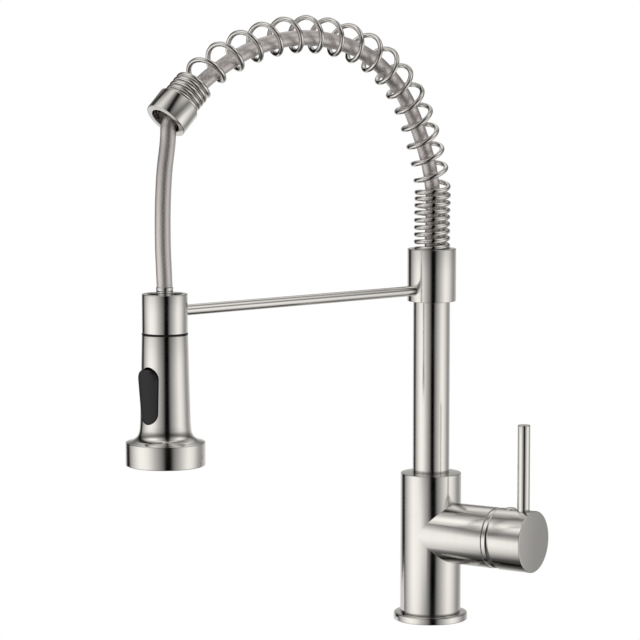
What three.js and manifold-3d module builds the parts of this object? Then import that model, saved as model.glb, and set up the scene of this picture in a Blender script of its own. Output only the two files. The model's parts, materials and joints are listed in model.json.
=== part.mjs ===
// Pull-down kitchen faucet with a sprung arch. Millimetres, +Z up, deck plane at z = 0.
// The spout reaches along -Y; the valve housing points to +X, turned a little towards +Y.
import * as THREE from 'three';
import { mergeVertices } from 'three/addons/utils/BufferGeometryUtils.js';
import Module from 'manifold-3d';

const wasm = await Module();
wasm.setup();

// Facets round a large, a middle and a small turned part
const ROUND = 30;
const SMALL = 16;
const TINY = 8;
// Running gap between neighbouring pieces
const GAP = 0.3;

// Base and body
const FLANGE_R = 25.6;
const FLANGE_TOP = 5;
const BODY_R = 21;
const BODY_TOP = 102.7;
const HOSE_BORE_R = 6;
const SHANK_R = 16;
const SHANK_BORE_R = 13.8;
const SHANK_SEAT = 14;
const SHANK_END = -60;
const SWIVEL_R = 15.6;
const SWIVEL_FLOOR = 82.7;

// Valve and handle, measured along the handle axis from the body's axis
const HANDLE_TURN = THREE.MathUtils.degToRad(17.5);
const HANDLE_Z = 61.8;
const HOUSING_END = 51.7;
const VALVE_BORE_R = 17.8;
const VALVE_FLOOR = 12;
const TILT_X = 40;
const DOME_R = 25.4;
// The dome is trimmed to a band almost level with the housing where it shows behind the cap
const DOME_BAND_R = 20.7;
const DOME_WALL = 2;
const STEM_HOLE_R = 13.9;
const CAP_START = 55.6;
const CAP_END = 81.6;
const CAP_R = 21.2;
// The cap's rear edge leans so the gap behind it opens towards the bottom
const CAP_SLANT = THREE.MathUtils.degToRad(5);
const ROD_X = 73.4;
const ROD_R = 4.3;
const ROD_TOP = 141.7;
const PLUG_X = 63.5;
const PLUG_R = 4.2;

// Water ways: distance from the body's axis and bearing from the handle axis
const PORT_RADIUS = 10.2;
const PORT_R = 2.4;
const PORTS = [
  { name: 'hot_inlet', bearing: 70, side: 9.6, height: 56.4 },
  { name: 'cold_inlet', bearing: -70, side: -9.6, height: 56.4 },
  { name: 'mixed_outlet', bearing: 128, side: 8.7, height: 70.4 },
];

// Spout
const RISER_R = 12.75;
const RISER_BORE_R = 10.75;
const RISER_TOP = 251.4;
const COLLAR_R = 16.8;
const COLLAR_BOTTOM = 222.2;
const COLLAR_TOP = 258.4;
const REACH = 228.5;
const ARM_Z = 230.1;
const ARM_R = 3.5;
const SPRING_R = 11;
const WIRE_R = 1.6;
const HOSE_R = 5.1;
const FITTING_R = 14.25;
const FITTING_BORE_R = 10.1;
const SPRING_SEAT_R = 12.8;
const FITTING_LENGTH = 15.5;
const FITTING_CENTRE = [221.7, 357.6];
// Middle line of the spring arch: distance out along -Y, height
const ARCH = [
  [0, 253.2], [0, 278], [0, 302.4], [8.5, 333.8], [27.9, 369.8], [61, 395.2],
  [109.5, 406], [155, 400.2], [190, 385.2], [207.4, 371.4], [219.8, 359.5],
];
// Middle line of the hose from under the deck, over the arch and down to the spray head
const HOSE = [
  [0, -62], [0, 102], [0, 252], [0, 302], [9.5, 333], [29.5, 368], [62, 393],
  [109.5, 403.6], [154, 397.6], [188, 382], [206.6, 368.6], [217.4, 357.6], [224.3, 350.1],
  [225.1, 342.4], [225.7, 336.4], [228.1, 320.4], [229.6, 297.4], [229.7, 272.4],
  [229, 256.4], [228.5, 246.3],
];
// Travel along that line where the hose leaves the spring's fitting
const HOSE_EXIT = 655;

// Docking ring and spray head
const RING_R = 14.75;
const RING_BOTTOM = 216.7;
const SEAM_BOTTOM = 215.8;
const RING_TOP = 241.7;
const RING_BORE_R = 12.9;
const RING_LIP_R = 11.2;
const RING_LIP = 2.4;
const HEAD_BOTTOM = 130.9;
const BELL_R = 25.7;
const BUTTON_TURN = THREE.MathUtils.degToRad(9);
// Height of the button's middle above the spray head's bottom
const BUTTON_MIDDLE = 45.8;
const BUTTON_HEIGHT = 35.2;
const BUTTON_WIDTH = 14;
const BUTTON_PIVOT_R = 9.5;
const BUTTON_PIN_R = 1;
// The rocker's skin is level with the shell at its foot and stands proud at its top
const BUTTON_FOOT_R = 16.1;
const BUTTON_TOP_R = 19.6;

function finish(color, roughness, metalness) {
  return () => new THREE.MeshStandardMaterial({ color, roughness, metalness });
}
const nickel = finish(0xb9b4ae, 0.32, 1);
const steel = finish(0xc4c4c6, 0.4, 1);
const brass = finish(0xb5934f, 0.4, 1);
const blackPlastic = finish(0x2c2c2e, 0.5, 0);
const whitePlastic = finish(0xe6e6e2, 0.5, 0);
const rubber = finish(0x1d1d1e, 0.8, 0);
const braid = finish(0xa39d9b, 0.45, 1);

function named(name, geometry, material) {
  const mesh = new THREE.Mesh(geometry, material());
  mesh.name = name;
  return mesh;
}

// Welds the geometry and drops the collapsed faces a lathe leaves on its axis
function welded(geometry) {
  const bare = geometry.clone();
  bare.deleteAttribute('normal');
  bare.deleteAttribute('uv');
  const merged = mergeVertices(bare, 1e-4);
  const kept = [];
  const index = merged.index.array;
  for (let i = 0; i < index.length; i += 3) {
    const [a, b, c] = [index[i], index[i + 1], index[i + 2]];
    if (a !== b && b !== c && a !== c) kept.push(a, b, c);
  }
  merged.setIndex(kept);
  merged.computeVertexNormals();
  return merged;
}

function toSolid(geometry) {
  const clean = welded(geometry);
  return new wasm.Manifold(new wasm.Mesh({
    numProp: 3,
    vertProperties: new Float32Array(clean.attributes.position.array),
    triVerts: new Uint32Array(clean.index.array),
  }));
}

function fromSolid(solid) {
  const mesh = solid.getMesh();
  const geometry = new THREE.BufferGeometry();
  geometry.setAttribute('position', new THREE.BufferAttribute(new Float32Array(mesh.vertProperties), 3));
  geometry.setIndex(new THREE.BufferAttribute(new Uint32Array(mesh.triVerts), 1));
  geometry.computeVertexNormals();
  return geometry;
}

function carve(geometry, cutters) {
  let solid = toSolid(geometry);
  for (const cutter of cutters) solid = solid.subtract(toSolid(cutter));
  return fromSolid(solid);
}

function common(first, second) {
  return fromSolid(toSolid(first).intersect(toSolid(second)));
}

// Turned about +Z from [radius, height] points that start and end on the axis
function turned(profile, segments = ROUND) {
  const lathe = new THREE.LatheGeometry(profile.map(([r, z]) => new THREE.Vector2(r, z)), segments);
  return welded(lathe.rotateX(Math.PI / 2));
}

// The same for a ring, whose outline closes on itself
function turnedRing(profile, segments = ROUND) {
  return turned([...profile, profile[0]], segments);
}

function rod(radius, bottom, top, segments = SMALL) {
  return turned([[0, bottom], [radius, bottom], [radius, top], [0, top]], segments);
}

function sleeve(inner, outer, bottom, top, segments = ROUND) {
  return turnedRing([[inner, bottom], [outer, bottom], [outer, top], [inner, top]], segments);
}

function torus(radius, minor, z) {
  const profile = [];
  for (let i = 0; i < TINY; i += 1) {
    const a = (2 * Math.PI * i) / TINY;
    profile.push([radius + minor * Math.cos(a), z + minor * Math.sin(a)]);
  }
  return turnedRing(profile);
}

function along(geometry, direction) {
  const turn = new THREE.Quaternion().setFromUnitVectors(
    new THREE.Vector3(0, 0, 1),
    new THREE.Vector3(...direction).normalize(),
  );
  return geometry.applyQuaternion(turn);
}

function box(x, y, z, centre) {
  return new THREE.BoxGeometry(x, y, z).translate(...centre);
}

function disc(radius, sides) {
  const outline = [];
  for (let i = 0; i < sides; i += 1) {
    const a = (2 * Math.PI * i) / sides;
    outline.push(new THREE.Vector2(radius * Math.cos(a), radius * Math.sin(a)));
  }
  return new THREE.Shape(outline);
}

function outwards(points) {
  return points.map(([out, z]) => new THREE.Vector3(0, -out, z));
}

function tube(curve, radius, sides, steps) {
  return welded(new THREE.ExtrudeGeometry(disc(radius, sides), {
    steps,
    extrudePath: curve,
    bevelEnabled: false,
    curveSegments: sides,
  }));
}

function portPoint(port) {
  const a = THREE.MathUtils.degToRad(port.bearing);
  return [PORT_RADIUS * Math.cos(a), PORT_RADIUS * Math.sin(a)];
}

// ---- below the deck ----

function mountingShank() {
  const pitch = 3;
  const threadTop = -18;
  const profile = [[SHANK_BORE_R, SHANK_END]];
  for (let z = SHANK_END; z < threadTop; z += pitch) {
    profile.push([SHANK_R - 0.9, z], [SHANK_R, z + pitch * 0.45]);
  }
  profile.push([SHANK_R - 0.9, threadTop], [SHANK_R, threadTop + 1]);
  profile.push([SHANK_R, SHANK_SEAT - GAP], [SHANK_BORE_R, SHANK_SEAT - GAP]);
  return named('mounting_shank', turnedRing(profile, SMALL), brass);
}

const NUT_TOP = -35.6;
const NUT_BOTTOM = -46;
const NUT_SCREW_RADIUS = 20.2;
const NUT_SCREW_R = 1.9;

function mountingNut() {
  const body = turned([[0, NUT_BOTTOM], [24, NUT_BOTTOM], [24, NUT_TOP], [0, NUT_TOP]], 6);
  const cutters = [rod(SHANK_R + GAP, NUT_BOTTOM - 1, NUT_TOP + 1, SMALL)];
  for (const side of [-1, 1]) {
    const hole = rod(NUT_SCREW_R + GAP, NUT_BOTTOM - 1, NUT_TOP + 1, TINY);
    cutters.push(hole.translate(0, side * NUT_SCREW_RADIUS, 0));
  }
  return named('mounting_nut', carve(body, cutters), brass);
}

function tighteningScrew(name, side) {
  const head = NUT_BOTTOM - 8;
  const screw = turned([
    [0, head], [3.4, head], [3.4, head + 3], [NUT_SCREW_R, head + 3],
    [NUT_SCREW_R, NUT_TOP], [0, NUT_TOP],
  ], TINY);
  const slot = box(8, 1, 2.4, [0, 0, head]);
  const mesh = named(name, carve(screw, [slot]), steel);
  mesh.position.y = side * NUT_SCREW_RADIUS;
  return mesh;
}

function waterTail(port) {
  const tailEnd = -84;
  const bore = 1.9;
  const wall = 3.1;
  const union = 4.4;
  const profile = [
    [bore, tailEnd], [union - 0.5, tailEnd], [union, tailEnd + 0.8],
    [union, tailEnd + 9], [wall, tailEnd + 10], [wall, 23.5], [bore, 23.5],
  ];
  const mesh = named(port.name, turnedRing(profile, SMALL), brass);
  const [x, y] = portPoint(port);
  mesh.position.set(x, y, 0);
  return mesh;
}

function belowDeck() {
  const group = new THREE.Group();
  group.name = 'below_deck';
  group.add(mountingShank());
  group.add(named('mounting_washer_rubber', sleeve(SHANK_R + GAP, 24.5, -33, -30), rubber));
  group.add(named('mounting_washer_metal', sleeve(SHANK_R + GAP, 24.5, -35.3, -33.3), steel));
  group.add(mountingNut());
  group.add(tighteningScrew('tightening_screw_left', -1));
  group.add(tighteningScrew('tightening_screw_right', 1));
  const tails = new THREE.Group();
  tails.name = 'water_tails';
  tails.rotation.z = HANDLE_TURN;
  for (const port of PORTS) tails.add(waterTail(port));
  group.add(tails);
  return group;
}

// ---- base and body ----

function baseFlange() {
  const bore = SHANK_R + 2 * GAP;
  return named('base_flange', turnedRing([
    [bore, 0], [18, 0], [18, 1.6], [23.6, 1.6], [23.6, 0], [FLANGE_R - 0.45, 0],
    [FLANGE_R, 0.45], [FLANGE_R, FLANGE_TOP - 0.9], [FLANGE_R - 0.9, FLANGE_TOP], [bore, FLANGE_TOP],
  ]), nickel);
}

// Swivel screw on the back of the body, level with the groove in the riser
const SWIVEL_SCREW_TURN = THREE.MathUtils.degToRad(140);
const SWIVEL_SCREW_Z = 87.7;

function swivelScrewHole(radius, start, end) {
  return along(rod(radius, start, end, TINY), [1, 0, 0])
    .rotateZ(SWIVEL_SCREW_TURN)
    .translate(0, 0, SWIVEL_SCREW_Z);
}

function faucetBody() {
  const bottom = FLANGE_TOP + GAP;
  const post = turned([
    [0, bottom], [BODY_R, bottom], [BODY_R, BODY_TOP - 0.8], [BODY_R - 0.8, BODY_TOP], [0, BODY_TOP],
  ]);
  const housing = along(turned([
    [0, 0], [BODY_R - 0.02, 0], [BODY_R - 0.02, HOUSING_END - 0.5],
    [BODY_R - 0.5, HOUSING_END], [0, HOUSING_END],
  ]), [1, 0, 0]).translate(0, 0, HANDLE_Z);
  const cutters = [
    rod(HOSE_BORE_R, 0, BODY_TOP + 1),
    rod(SHANK_R + GAP, 0, SHANK_SEAT),
    rod(SWIVEL_R, SWIVEL_FLOOR, BODY_TOP + 1, ROUND),
    along(rod(VALVE_BORE_R, VALVE_FLOOR, HOUSING_END + 1, ROUND), [1, 0, 0]).translate(0, 0, HANDLE_Z),
  ];
  for (const port of PORTS) {
    const [x, y] = portPoint(port);
    cutters.push(rod(3.4, SHANK_SEAT - 1, 24, TINY).translate(x, y, 0));
    cutters.push(rod(PORT_R, 20, port.height, TINY).translate(x, y, 0));
    const length = VALVE_FLOOR + 1 - x;
    cutters.push(box(length, 2 * PORT_R, 2 * PORT_R, [x + length / 2, port.side, port.height]));
  }
  const solid = toSolid(post).add(toSolid(housing));
  const body = cutters.reduce((left, cutter) => left.subtract(toSolid(cutter)), solid);
  const placed = fromSolid(body).rotateZ(HANDLE_TURN);
  return named('faucet_body', carve(placed, [swivelScrewHole(2.3, SWIVEL_R - 1, BODY_R + 2)]), nickel);
}

const BUSH_BORE_R = RISER_R + GAP;
const O_RING_HEIGHTS = [91.7, 96.2];

function swivelBush() {
  const top = BODY_TOP - 3.3;
  const profile = [[BUSH_BORE_R, SWIVEL_FLOOR + GAP], [SWIVEL_R - GAP, SWIVEL_FLOOR + GAP]];
  profile.push([SWIVEL_R - GAP, top], [BUSH_BORE_R, top]);
  for (const z of [...O_RING_HEIGHTS].reverse()) {
    profile.push([BUSH_BORE_R, z + 1.2], [BUSH_BORE_R + 1.8, z + 1.2]);
    profile.push([BUSH_BORE_R + 1.8, z - 1.2], [BUSH_BORE_R, z - 1.2]);
  }
  const hole = swivelScrewHole(2.3, RISER_R - 1, SWIVEL_R + 2);
  return named('swivel_bush', carve(turnedRing(profile), [hole]), whitePlastic);
}

function swivelScrew() {
  const start = RISER_R - 0.5;
  const end = BODY_R - 0.7;
  const screw = turned([[0, start], [1.4, start], [2, start + 1], [2, end], [0, end]], TINY);
  const socket = turned([[0, end - 2], [1, end - 2], [1, end + 1], [0, end + 1]], 6);
  const geometry = along(carve(screw, [socket]), [1, 0, 0]).rotateZ(SWIVEL_SCREW_TURN);
  return named('swivel_set_screw', geometry.translate(0, 0, SWIVEL_SCREW_Z), steel);
}

function base() {
  const group = new THREE.Group();
  group.name = 'base';
  group.add(baseFlange());
  group.add(named('base_gasket', sleeve(18.3, 23.3, 0, 1.3), rubber));
  group.add(faucetBody());
  group.add(swivelBush());
  group.add(named('o_ring_lower', torus(BUSH_BORE_R + 0.9, 0.85, O_RING_HEIGHTS[0]), rubber));
  group.add(named('o_ring_upper', torus(BUSH_BORE_R + 0.9, 0.85, O_RING_HEIGHTS[1]), rubber));
  group.add(swivelScrew());
  const closing = sleeve(BUSH_BORE_R, SWIVEL_R - GAP, BODY_TOP - 3, BODY_TOP);
  group.add(named('riser_retaining_ring', closing, nickel));
  return group;
}

// ---- valve and handle, built along +Z and laid along the handle axis ----

const CARTRIDGE_FRONT = 44;
const ROTOR_START = 26;
const ROTOR_R = 11;
const STEM_HALF = 4;

function cartridgeBody() {
  const start = VALVE_FLOOR + GAP;
  const outer = VALVE_BORE_R - GAP;
  const cup = turnedRing([
    [0.01, start], [outer, start], [outer, CARTRIDGE_FRONT], [ROTOR_R + GAP, CARTRIDGE_FRONT],
    [ROTOR_R + GAP, ROTOR_START - GAP], [0.01, ROTOR_START - GAP],
  ]);
  const filled = toSolid(cup).add(toSolid(rod(1, start, ROTOR_START - GAP, TINY)));
  const blank = along(fromSolid(filled), [1, 0, 0]);
  const cutters = PORTS.map((port) => along(rod(PORT_R, start - 1, ROTOR_START, TINY), [1, 0, 0])
    .translate(0, port.side * 0.82, (port.height - HANDLE_Z) * 0.82));
  return named('cartridge_body', carve(blank, cutters), whitePlastic);
}

function cartridgeRotor() {
  const barrel = along(rod(ROTOR_R, ROTOR_START, 43.5, SMALL), [1, 0, 0]);
  const slot = box(20, 2 * (STEM_HALF + GAP), 40, [39, 0, 0]);
  const pinHole = along(rod(1.8, -15, 15, TINY), [0, 1, 0]).translate(TILT_X, 0, 0);
  return named('cartridge_rotor', carve(barrel, [slot, pinHole]), whitePlastic);
}

function cartridgeStem() {
  const bar = box(41, 2 * STEM_HALF, 2 * STEM_HALF, [53.5, 0, 0]);
  const pinHole = along(rod(1.8, -15, 15, TINY), [0, 1, 0]).translate(TILT_X, 0, 0);
  return named('cartridge_stem', carve(bar, [pinHole]), brass);
}

function sphereArc(radius, fromX, toX, steps) {
  const points = [];
  for (let i = 0; i <= steps; i += 1) {
    const x = fromX + ((toX - fromX) * i) / steps;
    points.push([Math.sqrt(radius ** 2 - (x - TILT_X) ** 2), x]);
  }
  return points;
}

function bonnetDome() {
  const foot = HOUSING_END + GAP;
  const inner = DOME_R - DOME_WALL;
  const skirt = 15.5;
  const hole = TILT_X + Math.sqrt(DOME_R ** 2 - STEM_HOLE_R ** 2);
  const innerHole = TILT_X + Math.sqrt(inner ** 2 - STEM_HOLE_R ** 2);
  const innerFoot = TILT_X + Math.sqrt(inner ** 2 - skirt ** 2);
  const bandEnd = TILT_X + Math.sqrt(DOME_R ** 2 - DOME_BAND_R ** 2);
  return named('bonnet_dome', along(turnedRing([
    [skirt, 50.4], [VALVE_BORE_R - GAP, 50.4], [VALVE_BORE_R - GAP, foot], [DOME_BAND_R, foot],
    ...sphereArc(DOME_R, bandEnd, hole, 6),
    ...sphereArc(inner, innerHole, innerFoot, 3),
  ]), [1, 0, 0]), nickel);
}

function handleCap() {
  const clear = DOME_R + 0.5;
  const tip = TILT_X + clear;
  const cavity = sphereArc(clear, CAP_START, tip - 0.05, 6).reverse();
  const bevel = 0.7;
  const shell = along(turned([
    [0, tip], ...cavity, [CAP_R, CAP_START], [CAP_R, CAP_END - bevel], [CAP_R - bevel, CAP_END], [0, CAP_END],
  ]), [1, 0, 0]);
  const socketHalf = STEM_HALF + GAP;
  const behind = box(20, 60, 60, [-10, 0, 0]).rotateY(-CAP_SLANT);
  behind.translate(CAP_START + CAP_R * Math.tan(CAP_SLANT), 0, 0);
  return named('handle_cap', carve(shell, [
    behind,
    box(20, 2 * socketHalf, 2 * socketHalf, [64.3, 0, 0]),
    rod(ROD_R + GAP, 9.5, CAP_R + 2).translate(ROD_X, 0, 0),
    rod(2.3, 0, CAP_R + 2, TINY).translate(PLUG_X, 0, 0),
    rod(PLUG_R + GAP, 17.2, CAP_R + 2).translate(PLUG_X, 0, 0),
  ]), nickel);
}

function leverRod() {
  const top = ROD_TOP - HANDLE_Z;
  const mesh = named('lever_rod', turned([
    [0, 9.8], [ROD_R, 9.8], [ROD_R, top - 0.8], [ROD_R - 0.8, top], [0, top],
  ]), nickel);
  mesh.position.x = ROD_X;
  return mesh;
}

function handleSetScrew() {
  const screw = rod(2, STEM_HALF + GAP, 16.6, TINY);
  const socket = turned([[0, 14], [1.2, 14], [1.2, 18], [0, 18]], 6);
  const mesh = named('handle_set_screw', carve(screw, [socket]), steel);
  mesh.position.x = PLUG_X;
  return mesh;
}

function indicatorPlug() {
  const mesh = named('indicator_plug', turned([
    [0, 17.5], [PLUG_R, 17.5], [PLUG_R, 21.1], [PLUG_R * 0.8, 21.8], [PLUG_R * 0.45, 22.2], [0, 22.35],
  ], SMALL), nickel);
  mesh.position.x = PLUG_X;
  return mesh;
}

function valveAndHandle() {
  const group = new THREE.Group();
  group.name = 'valve_and_handle';
  group.position.z = HANDLE_Z;
  group.rotation.z = HANDLE_TURN;
  group.add(cartridgeBody());
  group.add(cartridgeRotor());
  group.add(named('rotor_pin', along(rod(1.5, -9.4, 9.4, TINY), [0, 1, 0]).translate(TILT_X, 0, 0), steel));
  const nut = turnedRing([
    [12.6, CARTRIDGE_FRONT + GAP], [VALVE_BORE_R - GAP, CARTRIDGE_FRONT + GAP],
    [VALVE_BORE_R - GAP, 50], [14, 50], [12.6, 48.8],
  ]);
  group.add(named('cartridge_nut', along(nut, [1, 0, 0]), brass));
  group.add(bonnetDome());
  group.add(cartridgeStem());
  group.add(handleCap());
  group.add(leverRod());
  group.add(handleSetScrew());
  group.add(indicatorPlug());
  return group;
}

// ---- spout ----

function riserTube() {
  const bottom = SWIVEL_FLOOR + 2 * GAP;
  const groove = 11.9;
  return named('riser_tube', turnedRing([
    [RISER_BORE_R, bottom], [RISER_R, bottom], [RISER_R, SWIVEL_SCREW_Z - 2],
    [groove, SWIVEL_SCREW_Z - 2], [groove, SWIVEL_SCREW_Z + 2], [RISER_R, SWIVEL_SCREW_Z + 2],
    [RISER_R, RISER_TOP], [RISER_BORE_R, RISER_TOP],
  ]), nickel);
}

function supportCollar() {
  const bore = RISER_R + GAP;
  const bevel = 0.7;
  const ring = turnedRing([
    [bore, COLLAR_BOTTOM], [COLLAR_R - bevel, COLLAR_BOTTOM], [COLLAR_R, COLLAR_BOTTOM + bevel],
    [COLLAR_R, COLLAR_TOP - bevel], [COLLAR_R - bevel, COLLAR_TOP], [bore, COLLAR_TOP],
  ]);
  const armHole = along(rod(ARM_R + GAP, 10, 20), [0, -1, 0]).translate(0, 0, ARM_Z);
  const screwHole = along(rod(2.3, 10, 20, TINY), [0, 1, 0]).translate(0, 0, ARM_Z);
  return named('support_collar', carve(ring, [armHole, screwHole]), nickel);
}

function collarSetScrew() {
  const end = COLLAR_R - 0.7;
  const screw = rod(2, RISER_R + GAP, end, TINY);
  const socket = turned([[0, end - 2], [1, end - 2], [1, end + 1], [0, end + 1]], 6);
  const geometry = along(carve(screw, [socket]), [0, 1, 0]).translate(0, 0, ARM_Z);
  return named('collar_set_screw', geometry, steel);
}

// Helical wire wound round the arch: close over the collar, open over the arch, closed at the tip
const LOWER_LENGTH = 46;
const LOWER_PITCH = 4.9;
const TIP_LENGTH = 21;
const TIP_PITCH = 3.5;
const OPEN_PITCH = [12, 17.7];
const PITCH_GROWTH = 6.5 / 150;
// Turns from the +X side to where the wire starts
const START_TURN = -0.36;

class SpringLine extends THREE.Curve {
  constructor(arch) {
    super();
    this.arch = arch;
    this.length = arch.getLength();
  }

  static pitchAt(travel, length) {
    if (travel < LOWER_LENGTH) return LOWER_PITCH;
    if (travel > length - TIP_LENGTH) return TIP_PITCH;
    return Math.min(OPEN_PITCH[1], OPEN_PITCH[0] + PITCH_GROWTH * (travel - LOWER_LENGTH));
  }

  build(perTurn) {
    const points = [];
    const step = 0.25;
    let turns = 0;
    let next = 0;
    for (let at = 0; at <= this.length; at += step) {
      if (turns >= next) {
        const u = at / this.length;
        const centre = this.arch.getPointAt(u);
        const tangent = this.arch.getTangentAt(u);
        const side = new THREE.Vector3(1, 0, 0);
        const up = new THREE.Vector3().crossVectors(tangent, side).normalize();
        const angle = 2 * Math.PI * (turns + START_TURN);
        points.push(centre.clone()
          .addScaledVector(side, SPRING_R * Math.cos(angle))
          .addScaledVector(up, SPRING_R * Math.sin(angle)));
        next += 1 / perTurn;
      }
      turns += step / SpringLine.pitchAt(at, this.length);
    }
    return points;
  }
}

function coilSpring() {
  const arch = new THREE.CatmullRomCurve3(outwards(ARCH), false, 'centripetal');
  arch.arcLengthDivisions = 800;
  const points = new SpringLine(arch).build(10);
  const line = new THREE.CatmullRomCurve3(points, false, 'centripetal');
  line.arcLengthDivisions = points.length * 2;
  return named('coil_spring', tube(line, WIRE_R, 6, points.length), steel);
}

function springEndFitting() {
  const half = FITTING_LENGTH / 2;
  const bevel = 0.6;
  const geometry = turnedRing([
    [FITTING_BORE_R, -half], [FITTING_R - bevel, -half], [FITTING_R, -half + bevel],
    [FITTING_R, half - bevel], [FITTING_R - bevel, half], [SPRING_SEAT_R, half], [SPRING_SEAT_R, 0.5], [FITTING_BORE_R, 0.5],
  ]);
  const [out, z] = FITTING_CENTRE;
  return named('spring_end_fitting', along(geometry, [0, 1, 1]).translate(0, -out, z), nickel);
}

// A stretch of the hose's line between two travels along it
class HoseStretch extends THREE.Curve {
  constructor(start, end) {
    super();
    this.line = new THREE.CatmullRomCurve3(outwards(HOSE), false, 'centripetal');
    this.line.arcLengthDivisions = 1200;
    this.whole = this.line.getLength();
    this.start = start;
    this.end = Math.min(end, this.whole);
  }

  getPoint(t) {
    return this.line.getPointAt(THREE.MathUtils.lerp(this.start, this.end, t) / this.whole);
  }
}

function dockingRing() {
  const bevel = 0.6;
  const ring = turnedRing([
    [RING_BORE_R, RING_BOTTOM], [RING_R - bevel, RING_BOTTOM], [RING_R, RING_BOTTOM + bevel],
    [RING_R, RING_TOP - bevel], [RING_R - bevel, RING_TOP], [RING_LIP_R, RING_TOP],
    [RING_LIP_R, RING_TOP - RING_LIP], [RING_BORE_R, RING_TOP - RING_LIP],
  ]);
  const hole = along(rod(ARM_R + GAP, 10, 20), [0, 1, 0]).translate(0, 0, ARM_Z);
  const mesh = named('docking_ring', carve(ring, [hole]), nickel);
  mesh.position.y = -REACH;
  return mesh;
}

function dockInsert() {
  const outer = RING_BORE_R - GAP;
  const mesh = named('dock_insert', turnedRing([
    [11.4, SEAM_BOTTOM], [RING_R + 0.2, SEAM_BOTTOM], [RING_R + 0.2, RING_BOTTOM - GAP],
    [outer, RING_BOTTOM - GAP], [outer, RING_TOP - RING_LIP - GAP], [10.3, RING_TOP - RING_LIP - GAP],
  ]), blackPlastic);
  mesh.position.y = -REACH;
  return mesh;
}

function supportArm() {
  const start = RISER_R + 2 * GAP;
  const end = REACH - RING_BORE_R - 0.2;
  const arm = rod(ARM_R, start, end, SMALL);
  return named('support_arm', along(arm, [0, -1, 0]).translate(0, 0, ARM_Z), nickel);
}

function spout() {
  const group = new THREE.Group();
  group.name = 'spout';
  group.add(riserTube());
  group.add(supportCollar());
  group.add(collarSetScrew());
  group.add(coilSpring());
  group.add(springEndFitting());
  group.add(named('spray_hose', tube(new HoseStretch(0, HOSE_EXIT), HOSE_R, 10, 34), braid));
  group.add(named('spray_hose_free_end', tube(new HoseStretch(HOSE_EXIT + GAP, Infinity), HOSE_R, 10, 32), braid));
  group.add(supportArm());
  group.add(dockingRing());
  group.add(dockInsert());
  return group;
}

// ---- spray head, on its own axis, heights from its bottom ----

const NECK_TOP = 106.9;
const NECK_BORE_R = 6.2;
const SHELL_TOP = 84.6;
const SHELL_OUTER = [
  [25.1, 0], [BELL_R, 0.6], [BELL_R, 14.2], [24.9, 15], [20.5, 16.4],
  [17.8, 18.6], [16.7, 22.1], [16.3, 27.5], [15.55, 55.5], [14.9, SHELL_TOP - 0.5], [14.4, SHELL_TOP],
];
const SHELL_INNER = [
  [NECK_BORE_R, 85], [12.6, 81], [14, 27.5], [14.4, 22.1], [16.4, 18.7], [23.4, 12.7],
];

function headShell() {
  const shell = turnedRing([
    [23.4, 0], ...SHELL_OUTER,
    [11, SHELL_TOP], [10.8, 88], [9.9, NECK_TOP - 0.7], [9.3, NECK_TOP], [NECK_BORE_R, NECK_TOP],
    ...SHELL_INNER,
  ]);
  const window = box(BUTTON_WIDTH + 1.2, 12, BUTTON_HEIGHT + 2.2, [0, -15, BUTTON_MIDDLE]);
  return named('spray_head_shell', carve(shell, [window]), nickel);
}

function pinThrough(radius, half) {
  return along(rod(radius, -half, half, TINY), [1, 0, 0]).translate(0, -BUTTON_PIVOT_R, BUTTON_MIDDLE);
}

function buttonHousing() {
  const block = box(17.4, 9.6, BUTTON_HEIGHT + 6, [0, -8.6, BUTTON_MIDDLE]);
  const limit = turned([[0, 21.5], [13.2, 21.5], [12.2, 71.5], [0, 71.5]]);
  const pocket = box(BUTTON_WIDTH + 0.7, 12, BUTTON_HEIGHT + 2.4, [0, -11.6, BUTTON_MIDDLE]);
  const pinHole = pinThrough(BUTTON_PIN_R + GAP, 12);
  return named('button_housing', carve(common(block, limit), [pocket, pinHole]), blackPlastic);
}

function sprayButton() {
  const radius = BUTTON_WIDTH / 2;
  const straight = BUTTON_HEIGHT / 2 - radius;
  const outline = new THREE.Shape();
  outline.absarc(0, straight, radius, 0, Math.PI, false);
  outline.absarc(0, -straight, radius, Math.PI, 2 * Math.PI, false);
  const depth = 12;
  const prism = new THREE.ExtrudeGeometry(outline, { depth, bevelEnabled: false, curveSegments: 10 });
  prism.rotateX(Math.PI / 2).translate(0, -10.6, BUTTON_MIDDLE);
  const foot = BUTTON_MIDDLE - BUTTON_HEIGHT / 2;
  const top = foot + BUTTON_HEIGHT;
  const skin = turned([
    [0, foot - 1], [BUTTON_FOOT_R, foot - 1], [BUTTON_FOOT_R, foot],
    [BUTTON_TOP_R, top], [BUTTON_TOP_R, top + 1], [0, top + 1],
  ]);
  const lug = along(rod(2.6, -3, 3, TINY), [1, 0, 0]).translate(0, -BUTTON_PIVOT_R, BUTTON_MIDDLE);
  const whole = toSolid(common(prism, skin)).add(toSolid(lug));
  return named('spray_button', carve(fromSolid(whole), [pinThrough(BUTTON_PIN_R + GAP, 12)]), blackPlastic);
}

const NOZZLES = 20;
const NOZZLE_CIRCLE = 17.5;

function nozzleSpots() {
  const spots = [];
  for (let i = 0; i < NOZZLES; i += 1) {
    const a = (2 * Math.PI * i) / NOZZLES;
    spots.push([NOZZLE_CIRCLE * Math.cos(a), NOZZLE_CIRCLE * Math.sin(a)]);
  }
  return spots;
}

function sprayFace() {
  const plate = sleeve(9.3, 23.1, 0.8, 3.5);
  const holes = nozzleSpots().map(([x, y]) => rod(1.7, -1, 5, TINY).translate(x, y, 0));
  return named('spray_face', carve(plate, holes), blackPlastic);
}

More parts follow.
